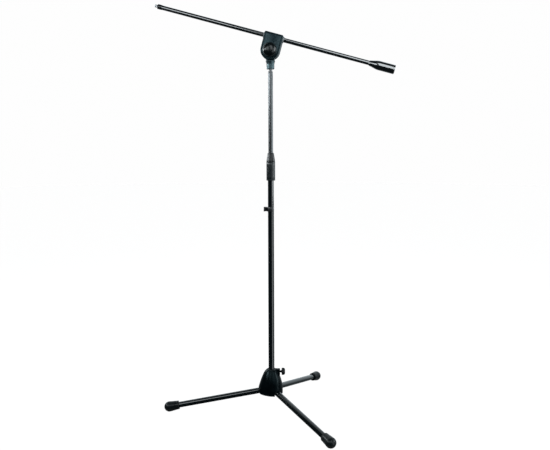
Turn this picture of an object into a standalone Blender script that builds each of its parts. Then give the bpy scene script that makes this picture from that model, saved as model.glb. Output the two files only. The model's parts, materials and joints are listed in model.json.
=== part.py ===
"""Tripod boom microphone stand: folding legs, sliding mast, telescopic rod, tilting boom."""
import math
import bpy
import bmesh
from mathutils import Matrix, Vector

# ---------------------------------------------------------------- driving dimensions (metres)
AXIS_X, AXIS_Y = -0.01295, -0.01650    # mast axis in the row frame (origin = centre of the footprint box)
GAP = 0.0003                           # clearance left between pieces that touch

# tripod
LEG_AZ = (185.4, 65.4, -54.6)          # leg directions, degrees from +X
LUG_AZ = 5.4                           # clamp screw lug, between legs 2 and 3
LEG_SLOPE = 10.1                       # degrees below the horizontal
FOOT_R = 0.0172                        # rubber bulb
FOOT_FLAT = 0.0006                     # worn flat under the bulb
FOOT_REACH = 0.3490                    # mast axis to the bulb's centre
PIN_R = 0.026                          # mast axis to hinge pin
PIN_RAD = 0.0030
PIN_HALF = 0.0165
LEG_RAD, LEG_WALL = 0.00975, 0.0012
LEG_START = 0.0105                     # pin to the tube's inner end
ARCH_R = 0.0112                        # channel in the hub over each leg
EYE_R, EYE_HALF = 0.0085, 0.0062
TONGUE_LEN, TONGUE_TOP, TONGUE_LOW, TONGUE_SIDE = 0.0215, 0.0060, -0.0030, 0.0045
FOLD_LIFT = 0.032                      # mast travel that lets the legs fold down

# hub
HUB_TOP, HUB_BOTTOM = 0.1470, 0.0626
# height, radius half-way between two legs, radius on the ridge over a leg
HUB_RINGS = ((0.1470, 0.0150, 0.0150), (0.1458, 0.0168, 0.0172), (0.1390, 0.0210, 0.0236), (0.1282, 0.0262, 0.0290),
             (0.1139, 0.0319, 0.0348), (0.0995, 0.0357, 0.0398), (0.0852, 0.0377, 0.0440), (0.0740, 0.0382, 0.0452),
             (0.0655, 0.0382, 0.0452), (0.0626, 0.0370, 0.0440))
HUB_STEPS = 16                         # facets in each third
BUSH_LOW, BUSH_IN, BUSH_OUT, BUSH_TOP = 0.0988, 0.0103, 0.0124, 0.1285
BORE_TOP_R = 0.0105
LUG_OUT, LUG_HALF, LUG_BOTTOM = 0.0290, 0.0068, 0.1205
SCREW_Z, SCREW_RAD = 0.1377, 0.0028
SCREW_KNOB_IN, SCREW_KNOB_OUT, SCREW_KNOB_RAD = 0.0342, 0.0463, 0.0120

# mast
MAST_RAD, MAST_WALL, MAST_TOP = 0.0100, 0.0012, 0.8020
PLUG_DEPTH = 0.0250

# clutch between mast and rod
GRIP_BOTTOM, GRIP_CYL_TOP, GRIP_CONE_TOP, GRIP_TOP = 0.7872, 0.8494, 0.8736, 0.8772
GRIP_RAD, GRIP_NOSE = 0.0144, 0.0107

# cable clip
CLIP_BOTTOM, CLIP_TOP = 0.6847, 0.6995
CLIP_IN, CLIP_OUT = 0.0103, 0.0124
HOOK_IN, HOOK_OUT = 0.0046, 0.0062

# rod
ROD_RAD, ROD_IN, ROD_BOTTOM, ROD_TOP = 0.00775, 0.00655, 0.4400, 1.1388
STUD_RAD = 0.0060

# head
PIVOT_Z = 1.2052
TONGUE_R, TONGUE_HALF = 0.0285, 0.0070
NECK_RAD, NECK_FLARE, NECK_BOTTOM = 0.0127, 0.0158, 1.1458
SHELL_R, SHELL_TOP, SHELL_HALF = 0.0308, 0.0546, 0.0200
SHELL_EDGE = 0.0030
BLOCK_FROM = 0.0318                    # both shells close over the boom above this height
DISC_R, DISC_IN, DISC_OUT = 0.0250, 0.0073, 0.0085
KNOB_RAD, KNOB_FACE = 0.0222, 0.0500
STUD_HOLE, KNOB_STUD_RAD = 0.0044, 0.0040
NUT_RAD = 0.0110

# boom
BOOM_TILT = 15.3                       # degrees, microphone end up
BOOM_OFFSET = 0.0423                   # pivot to boom axis
BOOM_RAD, BOOM_IN = 0.00725, 0.0061
BOOM_LEFT, BOOM_RIGHT = -0.3862, 0.3847
FERRULE_RAD, FERRULE_LEFT, FERRULE_RIGHT = 0.0079, -0.3896, -0.3752
THREAD_RAD, THREAD_LEFT = 0.00476, -0.3990
HEAD_BUSH_IN, HEAD_BUSH_OUT, HEAD_BUSH_END = 0.00755, 0.0099, 0.0336
WEIGHT_LEFT, WEIGHT_RIGHT, WEIGHT_TAPER = 0.3165, 0.4001, 0.3467
WEIGHT_NOSE, WEIGHT_RAD = 0.0084, 0.0147

SLOPE = math.radians(LEG_SLOPE)
TILT = math.radians(BOOM_TILT)
FOOT_Z = FOOT_R - FOOT_FLAT
PIN_Z = FOOT_Z + (FOOT_REACH - PIN_R) * math.tan(SLOPE)
LEG_LEN = (FOOT_REACH - PIN_R) / math.cos(SLOPE)      # pin to bulb centre
MAST_BOTTOM = PIN_Z + TONGUE_TOP + 0.0003

# ---------------------------------------------------------------- scene and materials
for old in list(bpy.data.objects):
    bpy.data.objects.remove(old, do_unlink=True)


def material(name, rgb, rough, metal):
    m = bpy.data.materials.new(name)
    m.use_nodes = True
    p = m.node_tree.nodes["Principled BSDF"]
    p.inputs["Base Color"].default_value = (rgb[0], rgb[1], rgb[2], 1.0)
    p.inputs["Roughness"].default_value = rough
    p.inputs["Metallic"].default_value = metal
    m.diffuse_color = (rgb[0], rgb[1], rgb[2], 1.0)
    return m


CAST = (0.020, 0.022, 0.024)
PAINT = (0.016, 0.018, 0.020)
PLASTIC = (0.022, 0.024, 0.026)
RUBBER = (0.030, 0.031, 0.033)
NICKEL = (0.30, 0.31, 0.32)
ZINC = (0.62, 0.63, 0.65)
BRASS = (0.55, 0.42, 0.20)
GREY = (0.35, 0.36, 0.37)

# ---------------------------------------------------------------- mesh helpers


def at(x, y, z):
    """Point given from the mast axis."""
    return Vector((AXIS_X + x, AXIS_Y + y, z))


def radial(az, r, z, side=0.0):
    """Point at radius r in direction az, moved sideways (anticlockwise) by side."""
    a = math.radians(az)
    return at(r * math.cos(a) - side * math.sin(a), r * math.sin(a) + side * math.cos(a), z)


def direction(az, up=0.0):
    a = math.radians(az)
    return Vector((math.cos(a) * math.cos(up), math.sin(a) * math.cos(up), math.sin(up)))


def frame_of(axis, ref=None):
    k = Vector(axis).normalized()
    ref = Vector(ref) if ref is not None else (Vector((0, 0, 1)) if abs(k.z) < 0.9 else Vector((1, 0, 0)))
    i = (ref - k * ref.dot(k)).normalized()
    return i, k.cross(i), k


def make(name, bm, mat):
    bmesh.ops.recalc_face_normals(bm, faces=bm.faces)
    me = bpy.data.meshes.new(name)
    bm.to_mesh(me)
    bm.free()
    ob = bpy.data.objects.new(name, me)
    bpy.context.scene.collection.objects.link(ob)
    if mat is not None:
        me.materials.append(mat)
    return ob


def lathe(name, profile, base, axis, mat=None, segs=32, closed=False, ref=None, phase=0.0):
    """Turn a list of (radius, height) about axis through base. closed joins the last point to the first."""
    i, j, k = frame_of(axis, ref)
    base = Vector(base)
    bm = bmesh.new()
    rings = []
    for r, h in profile:
        if r < 1e-7:
            rings.append([bm.verts.new(base + k * h)])
        else:
            rings.append([bm.verts.new(base + k * h + (i * math.cos(t) + j * math.sin(t)) * r)
                          for t in (2 * math.pi * (s + phase) / segs for s in range(segs))])
    pairs = list(zip(rings[:-1], rings[1:]))
    if closed:
        pairs.append((rings[-1], rings[0]))
    for a, b in pairs:
        for s in range(segs):
            n = (s + 1) % segs
            if len(a) == 1 and len(b) == 1:
                continue
            if len(a) == 1:
                bm.faces.new((a[0], b[s], b[n]))
            elif len(b) == 1:
                bm.faces.new((a[s], b[0], a[n]))
            else:
                bm.faces.new((a[s], b[s], b[n], a[n]))
    return make(name, bm, mat)


def prism(name, outline, base, i, j, k, h0, h1, mat=None):
    """Flat outline of (a, b) along i and j, pushed from h0 to h1 along k."""
    base, i, j, k = Vector(base), Vector(i), Vector(j), Vector(k)
    bm = bmesh.new()
    lo = [bm.verts.new(base + i * a + j * b + k * h0) for a, b in outline]
    hi = [bm.verts.new(base + i * a + j * b + k * h1) for a, b in outline]
    bm.faces.new(lo)
    bm.faces.new(hi)
    for s in range(len(lo)):
        n = (s + 1) % len(lo)
        bm.faces.new((lo[s], lo[n], hi[n], hi[s]))
    return make(name, bm, mat)


def combine(ob, tool, how):
    """Boolean applied at once, worked in millimetres so that no sliver is lost; the tool is deleted."""
    ob.data.transform(Matrix.Scale(1000, 4))
    tool.data.transform(Matrix.Scale(1000, 4))
    m = ob.modifiers.new("cut", 'BOOLEAN')
    m.operation = how
    m.solver = 'EXACT'
    m.object = tool
    settle(ob)
    ob.data.transform(Matrix.Scale(0.001, 4))
    bpy.data.objects.remove(tool, do_unlink=True)
    return ob


def settle(ob):
    dg = bpy.context.evaluated_depsgraph_get()
    dg.update()
    me = bpy.data.meshes.new_from_object(ob.evaluated_get(dg))
    old = ob.data
    ob.modifiers.clear()
    ob.data = me
    me.name = ob.name
    bpy.data.meshes.remove(old)
    return ob


def soften(ob, width, segments=2, angle=40):
    m = ob.modifiers.new("edge", 'BEVEL')
    m.width = width
    m.segments = segments
    m.limit_method = 'ANGLE'
    m.angle_limit = math.radians(angle)
    m.harden_normals = False
    return settle(ob)


def cut(ob, tool):
    return combine(ob, tool, 'DIFFERENCE')


def join(ob, tool):
    return combine(ob, tool, 'UNION')


def rounded(ob, angle=35):
    for p in ob.data.polygons:
        p.use_smooth = True
    ob.data.set_sharp_from_angle(angle=math.radians(angle))
    return ob


def pivot(ob, point):
    """Move the object's origin to point without moving its shape."""
    p = Vector(point)
    ob.data.transform(Matrix.Translation(-p))
    ob.location = p
    return ob


def tube(name, outer, inner, base, axis, h0, h1, mat, segs=28, edge=0.0005):
    prof = [(inner, h0), (outer - edge, h0), (outer, h0 + edge), (outer, h1 - edge), (outer - edge, h1), (inner, h1)]
    return lathe(name, prof, base, axis, mat, segs, closed=True)


def rod(name, r, base, axis, h0, h1, mat=None, segs=24, edge=0.0004):
    prof = [(0, h0), (r - edge, h0), (r, h0 + edge), (r, h1 - edge), (r - edge, h1), (0, h1)]
    return lathe(name, prof, base, axis, mat, segs)


def cutter(r, base, axis, h0, h1, segs=24):
    return lathe("tool", [(0, h0), (r, h0), (r, h1), (0, h1)], base, axis, None, segs)


Z = Vector((0, 0, 1))
mast_foot = at(0, 0, 0)

# ---------------------------------------------------------------- base hub
m_hub = material("hub_cast", CAST, 0.34, 0.0)
bm = bmesh.new()
steps = 3 * HUB_STEPS
rings = []
for z, rm, rr in HUB_RINGS:
    ring = []
    for t in range(steps):
        u = abs((t % HUB_STEPS) / HUB_STEPS * 2 - 1)          # 1 on a ridge, 0 half-way between
        r = rm + (rr - rm) * u ** 1.7
        a = math.radians(LEG_AZ[2] + 120 * t / HUB_STEPS)
        ring.append(bm.verts.new(at(r * math.cos(a), r * math.sin(a), z)))
    rings.append(ring)
for r, z in ((BUSH_OUT + GAP, HUB_BOTTOM), (BUSH_OUT + GAP, BUSH_TOP + GAP), (BORE_TOP_R, BUSH_TOP + GAP), (BORE_TOP_R, HUB_TOP)):
    rings.append([bm.verts.new(at(r * math.cos(a), r * math.sin(a), z))
                  for a in (math.radians(LEG_AZ[2] + 120 * t / HUB_STEPS) for t in range(steps))])
for p, q in zip(rings, rings[1:] + rings[:1]):
    for t in range(steps):
        n = (t + 1) % steps
        bm.faces.new((p[t], q[t], q[n], p[n]))
hub = make("base_hub", bm, m_hub)
# lug for the clamp screw
li, lj = direction(LUG_AZ), direction(LUG_AZ + 90)
lug = prism("tool", [(0.013, LUG_BOTTOM - 0.006), (LUG_OUT - 0.0045, LUG_BOTTOM), (LUG_OUT - 0.0008, LUG_BOTTOM + 0.0035),
                     (LUG_OUT, LUG_BOTTOM + 0.008), (LUG_OUT, HUB_TOP - 0.0012), (LUG_OUT - 0.0012, HUB_TOP), (0.013, HUB_TOP)],
            mast_foot, li, Z, lj, -LUG_HALF, LUG_HALF)
join(hub, lug)
O, X, Y = Vector((0, 0, 0)), Vector((1, 0, 0)), Vector((0, 1, 0))
DOWN = Vector((math.cos(SLOPE), 0, -math.sin(SLOPE)))


def leg_matrix(az):
    """Leg pieces are shaped with the hinge pin along Y at the origin, then turned into place."""
    e, s, p = direction(az), direction(az + 90), radial(az, PIN_R, PIN_Z)
    return Matrix(((e.x, s.x, 0, p.x), (e.y, s.y, 0, p.y), (0, 0, 1, p.z), (0, 0, 0, 1)))


for az in LEG_AZ:
    M = leg_matrix(az)
    # channel under an arch for the eye and the tube, then a narrow slot in which the locking tongue swings up
    half = [(ARCH_R * math.cos(math.radians(t)), ARCH_R * math.sin(math.radians(t))) for t in range(0, 181, 15)]
    arch = prism("tool", half + [(-ARCH_R, -0.06), (ARCH_R, -0.06)], O, Y, DOWN.cross(Y), DOWN, -EYE_R - 0.0041, 0.06)
    arch.data.transform(M)
    cut(hub, arch)
    slit = prism("tool", [(-PIN_R + 0.004, -0.05), (0.0070, -0.05), (0.0070, 0.0236), (-PIN_R + 0.004, 0.0236)], O, X, Z, Y,
                 -TONGUE_SIDE - 0.0007, TONGUE_SIDE + 0.0007)
    slit.data.transform(M)
    cut(hub, slit)
    cut(hub, cutter(PIN_RAD + GAP, radial(az, PIN_R, PIN_Z), direction(az + 90), -PIN_HALF - GAP, PIN_HALF + GAP, 16))
cut(hub, cutter(SCREW_RAD + 0.0005, radial(LUG_AZ, 0, SCREW_Z), li, 0.004, 0.05, 20))
rounded(hub, 30)

m_bush = material("hub_bush_brass", BRASS, 0.35, 1.0)
rounded(tube("hub_bush", BUSH_OUT, BUSH_IN, mast_foot, Z, BUSH_LOW, BUSH_TOP, m_bush, 28, 0.0004))

m_pad = material("pressure_pad_brass", BRASS, 0.4, 1.0)
rounded(rod("pressure_pad", SCREW_RAD, radial(LUG_AZ, 0, SCREW_Z), li, MAST_RAD + 0.0004, MAST_RAD + 0.0030, m_pad, 20, 0.0003))

for n, az in enumerate(LEG_AZ, 1):
    m = material("hinge_pin_steel_%d" % n, ZINC, 0.3, 1.0)
    rounded(rod("hinge_pin_%d" % n, PIN_RAD, radial(az, PIN_R, PIN_Z), direction(az + 90), -PIN_HALF, PIN_HALF, m, 16))

# clamp screw
p0 = radial(LUG_AZ, 0, SCREW_Z)
ki, ko, kr = SCREW_KNOB_IN, SCREW_KNOB_OUT, SCREW_KNOB_RAD
m = material("clamp_screw_black", (0.03, 0.03, 0.032), 0.35, 1.0)
ob = lathe("clamp_screw_stud", [(0, MAST_RAD + 0.0034), (SCREW_RAD - 0.0006, MAST_RAD + 0.0034), (SCREW_RAD, MAST_RAD + 0.0042),
                                (SCREW_RAD, ki - 0.0010), (SCREW_RAD - 0.0006, ki - 0.0010), (SCREW_RAD - 0.0006, SCREW_KNOB_OUT - 0.0040),
                                (0, SCREW_KNOB_OUT - 0.0040)], p0, li, m, 20)
pivot(rounded(ob), p0 + li * LUG_OUT)
m = material("clamp_screw_knob", PLASTIC, 0.3, 0.0)
ob = lathe("clamp_screw_knob",
           [(SCREW_RAD - 0.0003, ki - 0.0006), (0.0046, ki - 0.0006), (0.0052, ki), (kr - 0.0012, ki), (kr - 0.0002, ki + 0.0009),
            (kr, ki + 0.0024), (kr, ki + 0.0074), (kr - 0.0007, ki + 0.0094), (kr - 0.0024, ki + 0.0110), (kr - 0.0058, ki + 0.0118), (0, ko),
            (0, ko - 0.0036), (SCREW_RAD - 0.0003, ko - 0.0036)],
           p0, li, m, 28, closed=True)
pivot(rounded(ob), p0 + li * LUG_OUT)

# ---------------------------------------------------------------- legs


def seat(ob, az):
    ob.data.transform(leg_matrix(az))
    return pivot(rounded(ob, 30), radial(az, PIN_R, PIN_Z))


for n, az in enumerate(LEG_AZ, 1):
    # knuckle: eye round the pin, a tongue that the mast's foot holds down, a collar and a spigot in the tube
    m = material("leg_knuckle_cast_%d" % n, CAST, 0.4, 0.0)
    eye = [(EYE_R * math.cos(math.radians(t)), EYE_R * math.sin(math.radians(t))) for t in range(90, 271, 15)]
    block = prism("leg_knuckle_%d" % n, eye + [(0.0045, -0.0090), (0.0084, -0.0097), (0.0111, 0.0056), (0.0050, 0.0076)], O, X, Z, Y, -EYE_HALF, EYE_HALF, m)
    cut(block, cutter(PIN_RAD + GAP, O, Y, -0.02, 0.02, 16))
    tongue = prism("tool", [(-TONGUE_LEN, TONGUE_LOW + 0.0012), (-TONGUE_LEN + 0.0012, TONGUE_LOW), (-0.0055, TONGUE_LOW - 0.0020), (-0.0055, TONGUE_TOP),
                            (-TONGUE_LEN + 0.0006, TONGUE_TOP), (-TONGUE_LEN, TONGUE_TOP - 0.0006)], O, X, Z, Y, -TONGUE_SIDE, TONGUE_SIDE)
    join(block, tongue)
    shank = lathe("tool", [(0, 0.0062), (LEG_RAD - 0.0006, 0.0062), (LEG_RAD - 0.0006, LEG_START - GAP), (LEG_RAD - LEG_WALL - GAP, LEG_START - GAP),
                           (LEG_RAD - LEG_WALL - GAP, 0.044), (0, 0.044)], O, DOWN, None, 24, phase=0.5)
    join(block, shank)
    seat(block, az)
    m = material("leg_paint_%d" % n, PAINT, 0.25, 0.0)
    seat(tube("leg_tube_%d" % n, LEG_RAD, LEG_RAD - LEG_WALL, O, DOWN, LEG_START, LEG_LEN - 0.0020, m, 28, 0.0004), az)
    # rubber cap with a round end and a small flat where it meets the floor
    m = material("foot_rubber_%d" % n, RUBBER, 0.55, 0.0)
    R, L = FOOT_R, LEG_LEN
    ci = LEG_RAD + GAP
    prof = [(ci, L - 0.0335), (0.0136, L - 0.0335), (0.0144, L - 0.0325), (0.0149, L - 0.0240), (0.0162, L - 0.0100)]
    for deg in (95, 70, 45, 22):
        a = math.radians(deg)
        prof.append((R * math.sin(a), L + R * math.cos(a)))
    prof += [(0, L + R), (0, L - 0.0016), (ci, L - 0.0016)]
    cap = lathe("foot_cap_%d" % n, prof, O, DOWN, m, 28, closed=True, phase=0.5)
    low = prism("tool", [(FOOT_REACH - PIN_R - 0.05, -PIN_Z - 0.03), (FOOT_REACH - PIN_R + 0.05, -PIN_Z - 0.03), (FOOT_REACH - PIN_R + 0.05, -PIN_Z),
                         (FOOT_REACH - PIN_R - 0.05, -PIN_Z)], O, X, Z, Y, -0.04, 0.04)
    cut(cap, low)
    seat(cap, az)

# ---------------------------------------------------------------- mast
m = material("mast_paint", PAINT, 0.22, 0.0)
ob = tube("mast_tube", MAST_RAD, MAST_RAD - MAST_WALL, mast_foot, Z, MAST_BOTTOM + 0.0040, MAST_TOP, m, 32)
rounded(ob)
m = material("lock_plug_steel", ZINC, 0.35, 1.0)
pr = MAST_RAD - MAST_WALL - GAP
ob = lathe("leg_lock_plug", [(0, MAST_BOTTOM), (MAST_RAD - 0.0016, MAST_BOTTOM), (MAST_RAD, MAST_BOTTOM + 0.0016), (MAST_RAD, MAST_BOTTOM + 0.0037),
                             (pr, MAST_BOTTOM + 0.0037), (pr, MAST_BOTTOM + PLUG_DEPTH), (0, MAST_BOTTOM + PLUG_DEPTH)], mast_foot, Z, m, 28)
rounded(ob)
m = material("clutch_socket_steel", ZINC, 0.35, 1.0)
ob = lathe("clutch_socket", [(MAST_RAD + GAP, GRIP_BOTTOM + 0.0018), (0.0119, GRIP_BOTTOM + 0.0018), (0.0119, 0.8330), (0.0085, 0.8330),
                             (0.0085, MAST_TOP + GAP), (MAST_RAD + GAP, MAST_TOP + GAP)], mast_foot, Z, m, 24, closed=True)
rounded(ob)
m = material("clutch_collet_nylon", GREY, 0.5, 0.0)
ob = lathe("clutch_collet", [(ROD_RAD + GAP, 0.8334), (0.0113, 0.8334), (0.0113, 0.8488), (0.0100, 0.8600), (0.0092, 0.8690), (ROD_RAD + GAP, 0.8690)],
           mast_foot, Z, m, 24, closed=True)
tool = prism("tool", [(-0.0006, 0.8395), (0.0006, 0.8395), (0.0006, 0.88), (-0.0006, 0.88)], mast_foot, direction(30), Z, direction(120), 0.0, 0.02)
cut(ob, tool)
rounded(ob)

# clutch grip turns round the collet
m = material("clutch_grip_rubber", PLASTIC, 0.42, 0.0)
g = GRIP_RAD
ob = lathe("clutch_grip", [(0.0122, GRIP_BOTTOM), (g - 0.0010, GRIP_BOTTOM), (g, GRIP_BOTTOM + 0.0012), (g, GRIP_CYL_TOP - 0.0010), (g - 0.0006, GRIP_CYL_TOP),
                           (0.0117, GRIP_CYL_TOP), (0.0117, 0.8332), (0.0122, 0.8332)], mast_foot, Z, m, 32, closed=True)
pivot(rounded(ob), at(0, 0, GRIP_BOTTOM))
m = material("clutch_nose_plastic", PLASTIC, 0.25, 0.0)
ob = lathe("clutch_nose", [(0.0117, GRIP_CYL_TOP + GAP), (g - 0.0006, GRIP_CYL_TOP + GAP), (g - 0.0003, GRIP_CYL_TOP + 0.0014), (GRIP_NOSE, GRIP_CONE_TOP),
                           (GRIP_NOSE - 0.0012, GRIP_TOP - 0.0006), (GRIP_NOSE - 0.0022, GRIP_TOP), (ROD_RAD + GAP, GRIP_TOP), (ROD_RAD + GAP, 0.8694),
                           (0.0096, 0.8694), (0.0104, 0.8606), (0.0117, 0.8498)], mast_foot, Z, m, 32, closed=True)
pivot(rounded(ob), at(0, 0, GRIP_BOTTOM))

# cable clip: open ring on the mast with an open hook on its left
m = material("cable_clip_plastic", PLASTIC, 0.35, 0.0)


def arc(cx, cy, r, a0, a1, n):
    return [(cx + r * math.cos(math.radians(a0 + (a1 - a0) * t / n)), cy + r * math.sin(math.radians(a0 + (a1 - a0) * t / n))) for t in range(n + 1)]


HOOK_C = -(CLIP_OUT + HOOK_OUT - 0.0008)
out = arc(0, 0, CLIP_OUT, 38, 166, 9) + arc(HOOK_C, 0, HOOK_OUT, 30, 232, 11) + arc(HOOK_C, 0, HOOK_IN, 232, 0, 11) \
    + arc(0, 0, CLIP_OUT, 186, 322, 10) + arc(0, 0, CLIP_IN, 322, 38, 20)
ob = prism("cable_clip", out, mast_foot, (1, 0, 0), (0, 1, 0), (0, 0, 1), CLIP_BOTTOM, CLIP_TOP, m)
pivot(rounded(ob, 30), at(0, 0, (CLIP_BOTTOM + CLIP_TOP) / 2))

# ---------------------------------------------------------------- telescopic rod
m = material("rod_bush_nylon", GREY, 0.5, 0.0)
br = MAST_RAD - MAST_WALL - GAP
ob = lathe("rod_foot_bush", [(0, ROD_BOTTOM - 0.012), (br - 0.0006, ROD_BOTTOM - 0.012), (br, ROD_BOTTOM - 0.0114), (br, ROD_BOTTOM - 0.0004),
                             (ROD_IN - GAP, ROD_BOTTOM - 0.0004), (ROD_IN - GAP, ROD_BOTTOM + 0.014), (0, ROD_BOTTOM + 0.014)], mast_foot, Z, m, 24)
pivot(rounded(ob), at(0, 0, ROD_BOTTOM))
m = material("rod_black_nickel", (0.16, 0.165, 0.17), 0.2, 1.0)
ob = lathe("upper_rod", [(ROD_IN, ROD_BOTTOM), (ROD_RAD - 0.0005, ROD_BOTTOM), (ROD_RAD, ROD_BOTTOM + 0.0005), (ROD_RAD, ROD_TOP - 0.0032),
                         (ROD_IN + 0.0003, ROD_TOP), (STUD_RAD + GAP, ROD_TOP), (STUD_RAD + GAP, ROD_TOP - 0.016), (ROD_IN, ROD_TOP - 0.017)],
           mast_foot, Z, m, 28, closed=True)
pivot(rounded(ob), at(0, 0, ROD_TOP))
m = material("rod_stud_steel", NICKEL, 0.3, 1.0)
ob = rod("rod_top_stud", STUD_RAD, mast_foot, Z, ROD_TOP - 0.0150, NECK_BOTTOM + 0.0160, m, 28)
pivot(rounded(ob), at(0, 0, ROD_TOP))

# ---------------------------------------------------------------- head
PIV = at(0, 0, PIVOT_Z)
UB = Vector((math.cos(TILT), 0, -math.sin(TILT)))     # along the boom, microphone end negative
VB = Vector((math.sin(TILT), 0, math.cos(TILT)))      # square to the boom, up
FR = Vector((0, -1, 0))                               # towards the knob

# yoke: round tongue on a flared neck, screwed on the rod's stud
m = material("yoke_cast", CAST, 0.3, 0.0)
tong = arc(0, 0, TONGUE_R, -58, 238, 26) + [(-0.0125, -0.0342), (0.0125, -0.0342)]
yoke = prism("head_yoke", tong, PIV, (1, 0, 0), (0, 0, 1), (0, -1, 0), -TONGUE_HALF, TONGUE_HALF, m)
nb = NECK_BOTTOM - PIVOT_Z
neck = lathe("tool", [(0, nb + 0.0170), (STUD_RAD + GAP, nb + 0.0170), (STUD_RAD + GAP, nb), (NECK_RAD - 0.0012, nb), (NECK_RAD, nb + 0.0012), (NECK_RAD, nb + 0.0160), (NECK_RAD + 0.0008, nb + 0.0205),
                      (NECK_FLARE - 0.0004, -0.0334), (NECK_FLARE - 0.0010, -0.0318), (0, -0.0318)], PIV, Z, None, 32)
join(yoke, neck)
cut(yoke, cutter(STUD_HOLE, PIV, FR, -0.02, 0.02, 24))
pivot(rounded(yoke, 30), PIV)

# clamp shells: two halves that close over the boom bush and grip the tongue
for name, sgn, m in (("clamp_shell_front", 1, material("shell_front_cast", CAST, 0.22, 0.0)),
                     ("clamp_shell_rear", -1, material("shell_rear_cast", CAST, 0.22, 0.0))):
    w, c = SHELL_R, 0.0042
    outl = arc(0, 0, SHELL_R, 180, 360, 16) + [(w, 0.02), (w, SHELL_TOP - c), (w - 0.0012, SHELL_TOP - 0.0012), (w - c, SHELL_TOP),
                                               (c - w, SHELL_TOP), (0.0012 - w, SHELL_TOP - 0.0012), (-w, SHELL_TOP - c), (-w, 0.02)]
    k = FR * sgn
    sh = prism(name, outl, PIV, UB, VB, k, 0.0004, SHELL_HALF, m)
    # round only the outer face's rim
    bm = bmesh.new()
    bm.from_mesh(sh.data)
    rim = [e for e in bm.edges if all(abs((v.co - PIV).dot(k) - SHELL_HALF) < 1e-6 for v in e.verts)]
    bmesh.ops.bevel(bm, geom=rim, offset=SHELL_EDGE, segments=3, profile=0.5, affect='EDGES')
    bmesh.ops.recalc_face_normals(bm, faces=bm.faces)
    bm.to_mesh(sh.data)
    bm.free()
    pocket = prism("tool", [(-0.05, -0.05), (0.05, -0.05), (0.05, BLOCK_FROM), (-0.05, BLOCK_FROM)], PIV, UB, VB, k, -0.002, DISC_OUT + GAP)
    cut(sh, pocket)
    cut(sh, cutter(HEAD_BUSH_OUT + GAP, PIV + VB * BOOM_OFFSET, UB, -0.05, 0.05, 32))
    cut(sh, cutter(STUD_HOLE, PIV, k, -0.01, 0.04, 24))
    pivot(rounded(sh, 30), PIV)
    m = material("friction_%s" % ("front" if sgn > 0 else "rear"), (0.10, 0.09, 0.08), 0.8, 0.0)
    ob = tube("friction_disc_%s" % ("front" if sgn > 0 else "rear"), DISC_R, STUD_HOLE, PIV, k, DISC_IN, DISC_OUT, m, 24, 0.0002)
    pivot(rounded(ob), PIV)

m = material("tilt_nut_steel", PAINT, 0.3, 0.0)
ob = lathe("tilt_nut_cap", [(STUD_HOLE, SHELL_HALF + GAP), (NUT_RAD, SHELL_HALF + GAP), (NUT_RAD, SHELL_HALF + 0.0050), (NUT_RAD - 0.0012, SHELL_HALF + 0.0078),
                            (NUT_RAD - 0.0050, SHELL_HALF + 0.0098), (0, SHELL_HALF + 0.0104), (0, SHELL_HALF + 0.0070), (STUD_HOLE, SHELL_HALF + 0.0070)],
           PIV, -FR, m, 24, closed=True)
pivot(rounded(ob), PIV)

# tilt knob and its stud
m = material("tilt_stud_steel", ZINC, 0.3, 1.0)
ob = rod("tilt_stud", KNOB_STUD_RAD, PIV, FR, -SHELL_HALF - 0.0064, KNOB_FACE - 0.0110, m, 24)
pivot(rounded(ob), PIV)
m = material("tilt_knob_plastic", PLASTIC, 0.16, 0.0)
kr, kf = KNOB_RAD, KNOB_FACE
ob = lathe("tilt_knob", [(STUD_HOLE, 0.0248), (kr - 0.0022, 0.0248), (kr - 0.0006, 0.0256), (kr, 0.0276), (kr, 0.0330), (kr - 0.0005, 0.0364), (kr - 0.0019, 0.0401),
                         (kr - 0.0046, 0.0438), (kr - 0.0086, 0.0470), (kr - 0.0140, 0.0492), (0, kf), (0, kf - 0.0104), (STUD_HOLE, kf - 0.0104)],
           PIV, FR, m, 36, closed=True)
pivot(rounded(ob), PIV)
m = material("knob_washer_steel", ZINC, 0.3, 1.0)
ob = tube("knob_washer", 0.0192, STUD_HOLE, PIV, FR, SHELL_HALF + GAP, 0.0245, m, 32, 0.0008)
pivot(rounded(ob), PIV)

# ---------------------------------------------------------------- boom
BP = PIV + VB * BOOM_OFFSET
m = material("boom_bush_nylon", (0.42, 0.43, 0.44), 0.4, 0.0)
ob = tube("boom_bush", HEAD_BUSH_OUT, HEAD_BUSH_IN, BP, UB, -HEAD_BUSH_END, HEAD_BUSH_END, m, 28, 0.0006)
pivot(rounded(ob), BP)
m = material("boom_paint", PAINT, 0.18, 0.0)
ob = tube("boom_tube", BOOM_RAD, BOOM_IN, BP, UB, BOOM_LEFT, BOOM_RIGHT, m, 28, 0.0004)
pivot(rounded(ob), BP)
m = material("ferrule_plastic", PLASTIC, 0.3, 0.0)
fl, fr = FERRULE_LEFT, FERRULE_RIGHT
ob = lathe("boom_ferrule", [(THREAD_RAD + 0.0003, fl), (FERRULE_RAD - 0.0008, fl), (FERRULE_RAD, fl + 0.0008), (FERRULE_RAD, fr - 0.0005), (FERRULE_RAD - 0.0002, fr),
                            (BOOM_RAD + GAP, fr), (BOOM_RAD + GAP, BOOM_LEFT - GAP), (THREAD_RAD + 0.0003, BOOM_LEFT - GAP)], BP, UB, m, 24, closed=True)
pivot(rounded(ob), BP)
m = material("mic_thread_zinc", ZINC, 0.25, 1.0)
ob = lathe("mic_thread_stud", [(0, THREAD_LEFT), (THREAD_RAD - 0.0008, THREAD_LEFT), (THREAD_RAD - 0.0001, THREAD_LEFT + 0.0008), (THREAD_RAD - 0.0001, BOOM_LEFT + 0.0006),
                               (BOOM_IN - GAP, BOOM_LEFT + 0.0006), (BOOM_IN - GAP, BOOM_LEFT + 0.018), (0, BOOM_LEFT + 0.018)], BP, UB, m, 24)
pivot(rounded(ob), BP)
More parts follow.
